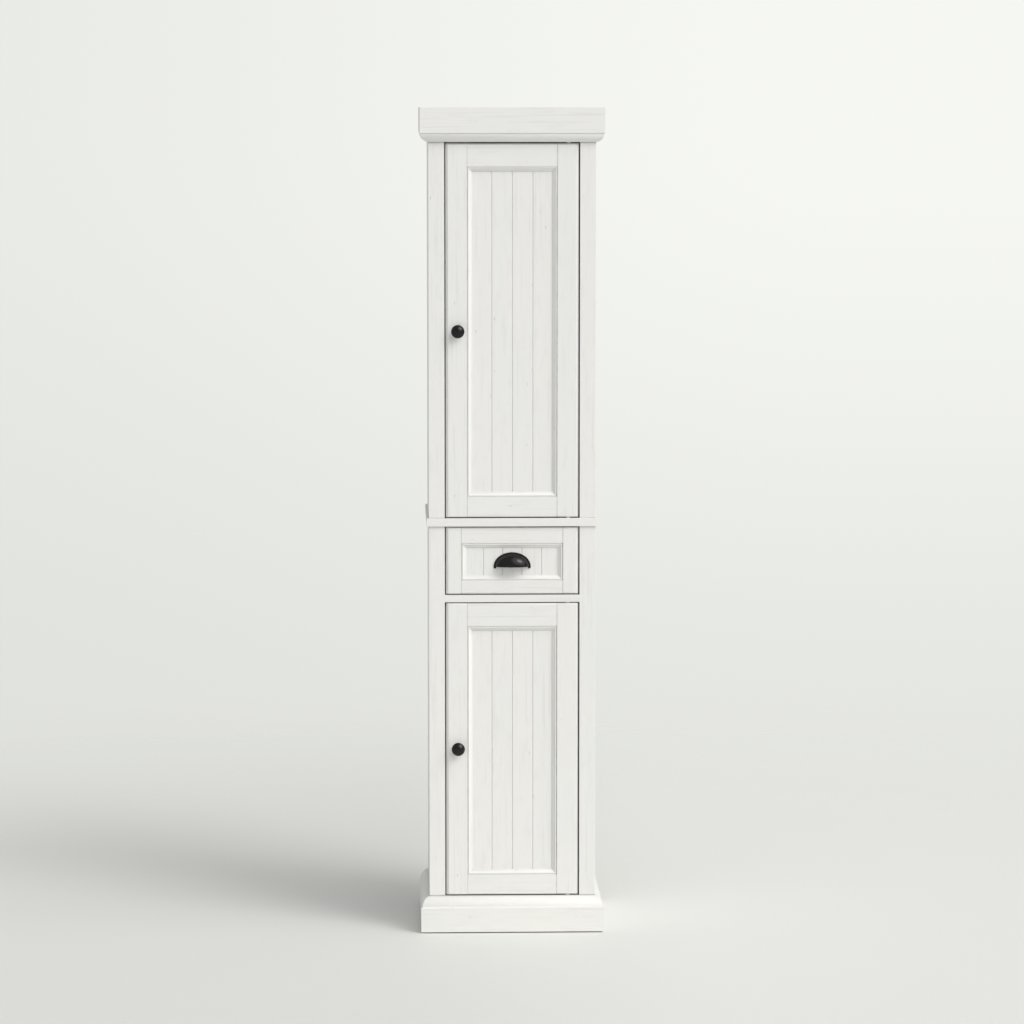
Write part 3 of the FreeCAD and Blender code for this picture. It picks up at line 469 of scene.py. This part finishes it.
def black_metal():
    """Cast metal under satin black, with a faint orange peel and worn brown where the coat is thin."""
    material, tree, shader = new_finish("black_metal", {"IOR": 1.5, "Specular IOR Level": 0.3})
    place = object_place(tree)
    peel = noise(tree, place, scale=(900, 900, 900), detail=3)
    cloud = noise(tree, place, scale=(120, 120, 120))
    thin = remap(tree, cloud, *THIN_BAND)
    colour_shader(tree, shader, mix_colours(tree, thin, BLACK_COAT, THIN_COAT))
    tree.links.new(remap(tree, peel, *NOISE_BAND, *COAT_ROUGHNESS), shader.inputs["Roughness"])
    bump(tree, shader, peel, strength=0.15, depth=0.06 * MM)
    return material


ZINC_BRIGHT = (0.62, 0.63, 0.65, 1)
ZINC_DULL = (0.50, 0.50, 0.51, 1)
DULL_BAND = (0.35, 0.7)
ZINC_ROUGHNESS = (0.26, 0.42)


def zinc_steel():
    """Bright zinc plating with fine lines and dull spots."""
    material, tree, shader = new_finish("zinc_steel", {"Metallic": 1.0})
    place = object_place(tree)
    spangle = noise(tree, place, scale=(300, 300, 300), detail=3)
    lines = noise(tree, place, scale=(60, 2500, 2500))
    dull = remap(tree, spangle, *DULL_BAND)
    colour_shader(tree, shader, mix_colours(tree, dull, ZINC_BRIGHT, ZINC_DULL))
    tree.links.new(remap(tree, spangle, *NOISE_BAND, *ZINC_ROUGHNESS), shader.inputs["Roughness"])
    bump(tree, shader, lines, strength=0.1, depth=0.03 * MM)
    return material


NYLON_WHITE = (0.84, 0.84, 0.82, 1)
NYLON_SCUFFED = (0.77, 0.77, 0.74, 1)
SCUFF_BAND = (0.4, 0.75)


def white_nylon():
    """Moulded nylon with fine scuffs."""
    material, tree, shader = new_finish("white_nylon", {"Roughness": 0.38})
    scuffs = noise(tree, object_place(tree), scale=(350, 350, 350), detail=4)
    scuffed = remap(tree, scuffs, *SCUFF_BAND)
    colour_shader(tree, shader, mix_colours(tree, scuffed, NYLON_WHITE, NYLON_SCUFFED))
    bump(tree, shader, scuffs, strength=0.1, depth=0.05 * MM)
    return material


HOLE_SHADE_DARK = (0.035, 0.03, 0.025, 1)
HOLE_SHADE_DUSTY = (0.09, 0.075, 0.06, 1)


def hole_shadow():
    """Painted shadow for the dark inside of a drilled hole."""
    material, tree, shader = new_finish("hole_shadow", {"Roughness": 0.9})
    dust = noise(tree, object_place(tree), scale=(500, 500, 500))
    colour_shader(tree, shader, mix_colours(tree, dust, HOLE_SHADE_DARK, HOLE_SHADE_DUSTY))
    return material


ZINC_STEEL = zinc_steel()
HOLE_SHADOW = hole_shadow()
PLAIN_FINISHES = {
    "black_metal": black_metal(),
    "runner_wood": runner_wood(),
    "steel": ZINC_STEEL,
    "white_plastic": white_nylon(),
}

# Boards whose grain runs from front to back. Other boards follow their longer side
DEEP_GRAIN = (
    "crown_fascia_left", "crown_fascia_right", "crown_moulding_left", "crown_moulding_right",
    "plinth_left", "plinth_right", "drawer_box_left_side", "drawer_box_right_side",
)
# Steps between board numbers. Painted ones leave room for the planks of a panel
PAINTED_STEP = 10.0
INSIDE_STEP = 0.7


def grain_of(name):
    """The axis that a board's grain runs along."""
    if name in DEEP_GRAIN:
        return "y"
    low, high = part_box(name)
    upright = name.endswith("panel") or high.z - low.z > high.x - low.x
    return "z" if upright else "x"


def shade_of(name):
    """What darkens a painted board: painted shade in a panel's grooves, grime in a front's joints with
    painted shade at its coves and edges, or seam lines with painted shade on a case's uprights.
    """
    if name in PANEL_PLANKS:
        return beadboard_grooves(*PANEL_PLANKS[name])
    if name.endswith(("_rail", "_stile")) and BODY_OF[name] in STILE_FLAT:
        return joints_and_painted_shade(name)
    if name.endswith(("_stile", "_side")):
        return end_seam_shade(name)
    return None


def finish_for(name, number):
    """The material of one solid, from its slot."""
    slot = SLOT_OF[name]
    if slot == "white_wash":
        return white_wash(f"white_wash_{name}", grain_of(name), PAINTED_STEP * number, shade_of(name))
    if slot == "inside_white":
        return inside_white(f"inside_white_{name}", grain_of(name), INSIDE_STEP * number)
    if slot == "back_board":
        return back_board(name)
    return PLAIN_FINISHES[slot]


# Soft edges

BOARD_EDGE = 0.6 * MM
FRONT_EDGE = 0.45 * MM
SMALL_EDGE = 0.25 * MM
EDGE_SEGMENTS = 2
SMALL_SLOTS = ("steel", "white_plastic")
ROUND_SLOTS = ("black_metal",)
WELD_REACH = 0.01 * MM
FLAT_ANGLE = math.radians(0.5)
SHARP_ANGLE = math.radians(40)


def edge_width(name):
    if BODY_OF[name] != "cabinet" and SLOT_OF[name] == "white_wash":
        return FRONT_EDGE
    if SLOT_OF[name] in SMALL_SLOTS:
        return SMALL_EDGE
    return BOARD_EDGE


def close_seams(name):
    """Join a solid's loose triangles along their shared edges."""
    weld = NODES[name].modifiers.new("close", "WELD")
    weld.merge_threshold = WELD_REACH


def soften_edges(name):
    """Join a solid's triangles that lie in one plane, and ease its sharp edges."""
    piece = NODES[name]
    flat = piece.modifiers.new("join_flats", "DECIMATE")
    flat.decimate_type = "DISSOLVE"
    flat.angle_limit = FLAT_ANGLE
    ease = piece.modifiers.new("ease", "BEVEL")
    ease.width = edge_width(name)
    ease.segments = EDGE_SEGMENTS
    ease.limit_method = "ANGLE"
    ease.angle_limit = SHARP_ANGLE


def dress_solids():
    for number, name in enumerate(sorted(NODES)):
        piece = NODES[name]
        piece.data.materials.clear()
        piece.data.materials.append(finish_for(name, number))
        close_seams(name)
        if SLOT_OF[name] not in ROUND_SLOTS:
            soften_edges(name)


# Screws, and discs of painted shadow for spare holes

# Corners round a screw's head, and its top and recess as shares of its radius
HEAD_CORNERS = 24
HEAD_TOP = 0.7
RECESS_LENGTH = 0.95
RECESS_WIDTH = 0.2

CATCH_SCREW = {"Head radius": 3.2 * MM, "Head height": 1.4 * MM}
KNOB_SCREW = {"Head radius": 4.5 * MM, "Head height": 1.9 * MM}
STRIKE_SCREW = {"Head radius": 2.6 * MM, "Head height": 0.2 * MM}
DRAWER_SCREW = {"Head radius": 4 * MM, "Head height": 1.7 * MM}

# Places of the screws: in a catch's wing, beside a strike's middle, behind the pull and the drawer's front
WING_THICKNESS = 3 * MM
WING_MIDDLE = 6 * MM
WING_END = 9 * MM
STRIKE_SCREWS_X = (-11 * MM, 11 * MM)
PULL_SCREWS_X = (-26 * MM, 26 * MM)
FRONT_SCREWS_X = (-95 * MM, 95 * MM)
FRONT_SCREW_ROWS = (0.3, 0.8)

# Discs of painted shadow for spare holes above and below each shelf pin, and how far they are from a
# shelf's front and back
PIN_HOLES = {"Pitch": 32 * MM, "Count": 2, "Hole radius": 2.6 * MM}
HOLE_CORNERS = 16
HOLE_THICKNESS = 0.1 * MM
FRONT_HOLES = 40 * MM
BACK_HOLES = 39 * MM
CASE_OF_SHELF = {"lower_shelf": "lower", "upper_low_shelf": "upper", "upper_high_shelf": "upper"}

BACKWARD = (0, 1, 0)
DOWN = (0, 0, -1)
INWARD = {"left": (1, 0, 0), "right": (-1, 0, 0)}


def new_geometry_tree(name, sizes):
    """An empty tree with a geometry in and out, and a named input for each size."""
    tree = bpy.data.node_groups.new(name, "GeometryNodeTree")
    add_sockets(tree, "INPUT", {"Geometry": "NodeSocketGeometry", **sizes})
    add_sockets(tree, "OUTPUT", {"Geometry": "NodeSocketGeometry"})
    return tree, add(tree, "NodeGroupInput").outputs


def place_copies(tree, points, copied, material):
    """End a tree with a copy on each point, turned to bring Z onto the point's own facing."""
    facing = add(tree, "GeometryNodeInputNamedAttribute", {"Name": "facing"}, data_type="FLOAT_VECTOR")
    ahead = {"Vector": facing.outputs["Attribute"]}
    turn = add(tree, "FunctionNodeAlignRotationToVector", ahead, axis="Z").outputs["Rotation"]
    values = {"Points": points, "Instance": copied, "Rotation": turn}
    copies = add(tree, "GeometryNodeInstanceOnPoints", values).outputs["Instances"]
    real = add(tree, "GeometryNodeRealizeInstances", {"Geometry": copies}).outputs["Geometry"]
    coated = add(tree, "GeometryNodeSetMaterial", {"Geometry": real, "Material": material})
    add(tree, "NodeGroupOutput", {"Geometry": coated.outputs["Geometry"]})


def screw_heads_tree():
    """A round screw head with a cross recess on each point."""
    sizes = {"Head radius": "NodeSocketFloat", "Head height": "NodeSocketFloat"}
    tree, given = new_geometry_tree("screw_heads", sizes)
    radius = given["Head radius"]
    height = given["Head height"]
    top = maths(tree, "MULTIPLY", radius, HEAD_TOP)
    cone = {"Vertices": HEAD_CORNERS, "Radius Top": top, "Radius Bottom": radius, "Depth": height}
    head = add(tree, "GeometryNodeMeshCone", cone).outputs["Mesh"]
    length = maths(tree, "MULTIPLY", radius, RECESS_LENGTH)
    width = maths(tree, "MULTIPLY", radius, RECESS_WIDTH)
    cross = add(tree, "GeometryNodeMeshBoolean", operation="UNION", solver="EXACT")
    for x, y in ((length, width), (width, length)):
        size = add(tree, "ShaderNodeCombineXYZ", {"X": x, "Y": y, "Z": height}).outputs[0]
        blade = add(tree, "GeometryNodeMeshCube", {"Size": size}).outputs["Mesh"]
        tree.links.new(blade, cross.inputs["Mesh 2"])
    lift = add(tree, "ShaderNodeCombineXYZ", {"Z": height}).outputs[0]
    raised = add(tree, "GeometryNodeTransform", {"Geometry": cross.outputs["Mesh"], "Translation": lift})
    cut = add(tree, "GeometryNodeMeshBoolean", {"Mesh 1": head}, operation="DIFFERENCE", solver="EXACT")
    tree.links.new(raised.outputs["Geometry"], cut.inputs["Mesh 2"])
    place_copies(tree, given["Geometry"], cut.outputs["Mesh"], ZINC_STEEL)
    return tree


def pin_hole_shadows_tree():
    """A row of flat dark discs, painted shadow of hole mouths, upwards from each point."""
    sizes = {"Pitch": "NodeSocketFloat", "Count": "NodeSocketInt", "Hole radius": "NodeSocketFloat"}
    tree, given = new_geometry_tree("pin_holes", sizes)
    step = add(tree, "ShaderNodeCombineXYZ", {"Z": given["Pitch"]}).outputs[0]
    row = add(tree, "GeometryNodeMeshLine", {"Count": given["Count"], "Offset": step}, mode="OFFSET")
    copied = {"Points": given["Geometry"], "Instance": row.outputs["Mesh"]}
    rows = add(tree, "GeometryNodeInstanceOnPoints", copied).outputs["Instances"]
    spots = add(tree, "GeometryNodeRealizeInstances", {"Geometry": rows}).outputs["Geometry"]
    disc = {"Vertices": HOLE_CORNERS, "Radius": given["Hole radius"], "Depth": HOLE_THICKNESS}
    mouth = add(tree, "GeometryNodeMeshCylinder", disc).outputs["Mesh"]
    place_copies(tree, spots, mouth, HOLE_SHADOW)
    return tree


def grow(name, body, tree, spots, sizes):
    """Run a tree on spots, each a place and its facing, and keep the result as a plain piece of a body."""
    seed = bpy.data.meshes.new(f"{name}_points")
    seed.from_pydata([place for place, _ in spots], [], [])
    facing = seed.attributes.new("facing", "FLOAT_VECTOR", "POINT")
    for index, (_, direction) in enumerate(spots):
        facing.data[index].vector = direction
    holder = bpy.data.objects.new(f"{name}_holder", seed)
    bpy.context.scene.collection.objects.link(holder)
    modifier = holder.modifiers.new("grow", "NODES")
    modifier.node_group = tree
    for item in tree.interface.items_tree:
        if item.in_out == "INPUT" and item.name in sizes:
            modifier[item.identifier] = sizes[item.name]
    evaluated = holder.evaluated_get(bpy.context.evaluated_depsgraph_get())
    piece = bpy.data.objects.new(name, bpy.data.meshes.new_from_object(evaluated))
    bpy.context.scene.collection.objects.link(piece)
    bpy.data.objects.remove(holder)
    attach(piece, body)


def catch_screws(tree):
    """Two screws up through each catch's wing."""
    low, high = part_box("door_catches")
    spots = []
    for deck in ("drawer_divider", "top_board"):
        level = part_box(deck)[0].z - WING_THICKNESS
        for x in (low.x + WING_END, high.x - WING_END):
            spots.append(((x, high.y - WING_MIDDLE, level), DOWN))
    grow("catch_screws", "cabinet", tree, spots, CATCH_SCREW)


def door_screws(tree, door):
    """The knob's screw, and two flat screws in the strike plate, on the back of a door."""
    knob = middle(f"{door}_knob")
    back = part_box(f"{door}_knob_stile")[1].y
    spot = ((knob.x, back, knob.z), BACKWARD)
    grow(f"{door}_knob_screw", door, tree, [spot], KNOB_SCREW)
    plate = middle(f"{door}_strike")
    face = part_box(f"{door}_strike")[1].y
    spots = [((plate.x + x, face, plate.z), BACKWARD) for x in STRIKE_SCREWS_X]
    grow(f"{door}_strike_screws", door, tree, spots, STRIKE_SCREW)


def drawer_screws(tree):
    """Inside the drawer box: two screws for the pull, and four that hold the front to the box."""
    pull = middle("drawer_cup_pull")
    low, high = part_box("drawer_box_front")
    pull_spots = [((x, high.y, pull.z), BACKWARD) for x in PULL_SCREWS_X]
    rows = [low.z + row * (high.z - low.z) for row in FRONT_SCREW_ROWS]
    front_spots = [((x, high.y, z), BACKWARD) for x in FRONT_SCREWS_X for z in rows]
    grow("drawer_screws", "drawer", tree, pull_spots + front_spots, DRAWER_SCREW)


def spare_pin_hole_shadows(tree):
    """Rows of discs of painted shadow for spare holes in the side boards above and below the shelf pins.
    """
    pitch = PIN_HOLES["Pitch"]
    columns = [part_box("lower_shelf")[0].y + FRONT_HOLES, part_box("lower_shelf")[1].y - BACK_HOLES]
    spots = []
    for shelf, case in CASE_OF_SHELF.items():
        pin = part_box(shelf)[0].z - PIN_HOLES["Hole radius"]
        starts = (pin + pitch, pin - PIN_HOLES["Count"] * pitch)
        for side, inward in INWARD.items():
            low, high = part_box(f"{case}_{side}_side")
            face = high.x if side == "left" else low.x
            spots += [((face, y, z), inward) for y in columns for z in starts]
    grow("spare_pin_hole_shadows", "cabinet", tree, spots, PIN_HOLES)


def small_fittings():
    heads = screw_heads_tree()
    catch_screws(heads)
    for door in ("upper_door", "lower_door"):
        door_screws(heads, door)
    drawer_screws(heads)
    spare_pin_hole_shadows(pin_hole_shadows_tree())


# Stage

FLOOR_RADIUS = 7.0
FLOOR_CORNERS = 96
FLOOR_FADE = (1.2, 3.7)
# The floor's colours at the left and the right, the left one darker as painted shade, and where the one
# turns to the other
FLOOR_COLOURS = ((0.75, 0.76, 0.73, 1), (0.83, 0.84, 0.81, 1))
FLOOR_TURN = (-0.3, 0.5)


def floor():
    """A pale floor, darker to the left with painted shade, that fades into the backdrop far from the
    cabinet.
    """
    mesh = bpy.data.meshes.new("floor")
    angles = [2 * math.pi * corner / FLOOR_CORNERS for corner in range(FLOOR_CORNERS)]
    rim = [(FLOOR_RADIUS * math.cos(angle), FLOOR_RADIUS * math.sin(angle), 0) for angle in angles]
    mesh.from_pydata(rim, [], [list(range(FLOOR_CORNERS))])
    made = bpy.data.objects.new("floor", mesh)
    bpy.context.scene.collection.objects.link(made)
    material, tree, shader = new_finish("pale_floor", {"Roughness": 0.7})
    place = object_place(tree)
    colour = mix_colours(tree, remap(tree, split(tree, place)["X"], *FLOOR_TURN), *FLOOR_COLOURS)
    colour_shader(tree, shader, colour)
    distance = add(tree, "ShaderNodeVectorMath", {0: place}, operation="LENGTH").outputs["Value"]
    clear = add(tree, "ShaderNodeBsdfTransparent").outputs[0]
    fade = remap(tree, distance, *FLOOR_FADE)
    blend = add(tree, "ShaderNodeMixShader", {0: fade, 1: shader.outputs[0], 2: clear})
    tree.links.new(blend.outputs[0], tree.nodes["Material Output"].inputs["Surface"])
    mesh.materials.append(material)


BACKDROP_LOW = (0.775, 0.785, 0.745, 1)
BACKDROP_HIGH = (0.92, 0.93, 0.90, 1)
BACKDROP_SHADE = (0.71, 0.72, 0.69, 1)
# Where the backdrop brightens upwards and darkens to the left, both painted shade, as parts of a
# direction, and by how much
BACKDROP_RISE = (-0.176, -0.001)
BACKDROP_LEFT = (0.115, -0.132)
BACKDROP_SHADE_SHARE = 0.5
# The light of the room, and its strength from below and from above
ROOM_LIGHT = (0.98, 0.985, 0.99, 1)
ROOM_STRENGTH = (0.70, 0.50)
ROOM_RISE = (-0.15, 0.15)


def backdrop():
    """A pale room: bright behind the cabinet with painted shade low down and to the left, dimmer as a
    light.
    """
    world = bpy.data.worlds.new("studio")
    bpy.context.scene.world = world
    world.use_nodes = True
    tree = world.node_tree
    parts = split(tree, add(tree, "ShaderNodeTexCoord").outputs["Generated"])
    shade = mix_colours(tree, remap(tree, parts["Z"], *BACKDROP_RISE), BACKDROP_LOW, BACKDROP_HIGH)
    left = remap(tree, parts["X"], *BACKDROP_LEFT, 0.0, BACKDROP_SHADE_SHARE)
    shade = mix_colours(tree, left, shade, BACKDROP_SHADE)
    seen = add(tree, "ShaderNodeBackground", {"Color": shade, "Strength": 1.0}).outputs[0]
    strength = remap(tree, parts["Z"], *ROOM_RISE, *ROOM_STRENGTH)
    light = add(tree, "ShaderNodeBackground", {"Color": ROOM_LIGHT, "Strength": strength}).outputs[0]
    camera_ray = add(tree, "ShaderNodeLightPath").outputs["Is Camera Ray"]
    mixed = add(tree, "ShaderNodeMixShader", {0: camera_ray, 1: light, 2: seen}).outputs[0]
    tree.links.new(mixed, tree.nodes["World Output"].inputs["Surface"])


KEY_FROM = (0.40, -0.37, 0.47)
KEY_COLOUR = (1.0, 0.985, 0.96)
# Strength and spread in degrees of each lamp
KEY_LAMPS = {"soft_key": (1.26, 66), "near_key": (1.0, 27)}


def key_light():
    """A very broad and a narrower distant lamp from the right, the front and above."""
    for name, (strength, spread) in KEY_LAMPS.items():
        lamp = bpy.data.lights.new(name, "SUN")
        lamp.energy = strength
        lamp.angle = math.radians(spread)
        lamp.color = KEY_COLOUR
        made = bpy.data.objects.new(name, lamp)
        made.rotation_euler = (-Vector(KEY_FROM)).to_track_quat("-Z", "Y").to_euler()
        bpy.context.scene.collection.objects.link(made)


CAMERA_PLACE = (-0.270, -9.0, 1.815)
CAMERA_TURN = math.radians(1.746)
CAMERA_TILT = math.radians(5.651)
CAMERA_REACH = 100
# Millimetres
SENSOR_WIDTH = 36
FOCAL_LENGTH = 141.55


def camera():
    """The photograph's viewpoint: a little left of the middle, looking slightly down."""
    lens = bpy.data.cameras.new("camera")
    lens.sensor_width = SENSOR_WIDTH
    lens.lens = FOCAL_LENGTH
    lens.clip_end = CAMERA_REACH
    made = bpy.data.objects.new("camera", lens)
    made.location = CAMERA_PLACE
    made.rotation_euler = (math.pi / 2 - CAMERA_TILT, 0, -CAMERA_TURN)
    bpy.context.scene.collection.objects.link(made)
    bpy.context.scene.camera = made


dress_solids()
small_fittings()
floor()
backdrop()
key_light()
camera()
bpy.context.scene.view_settings.view_transform = "Standard"
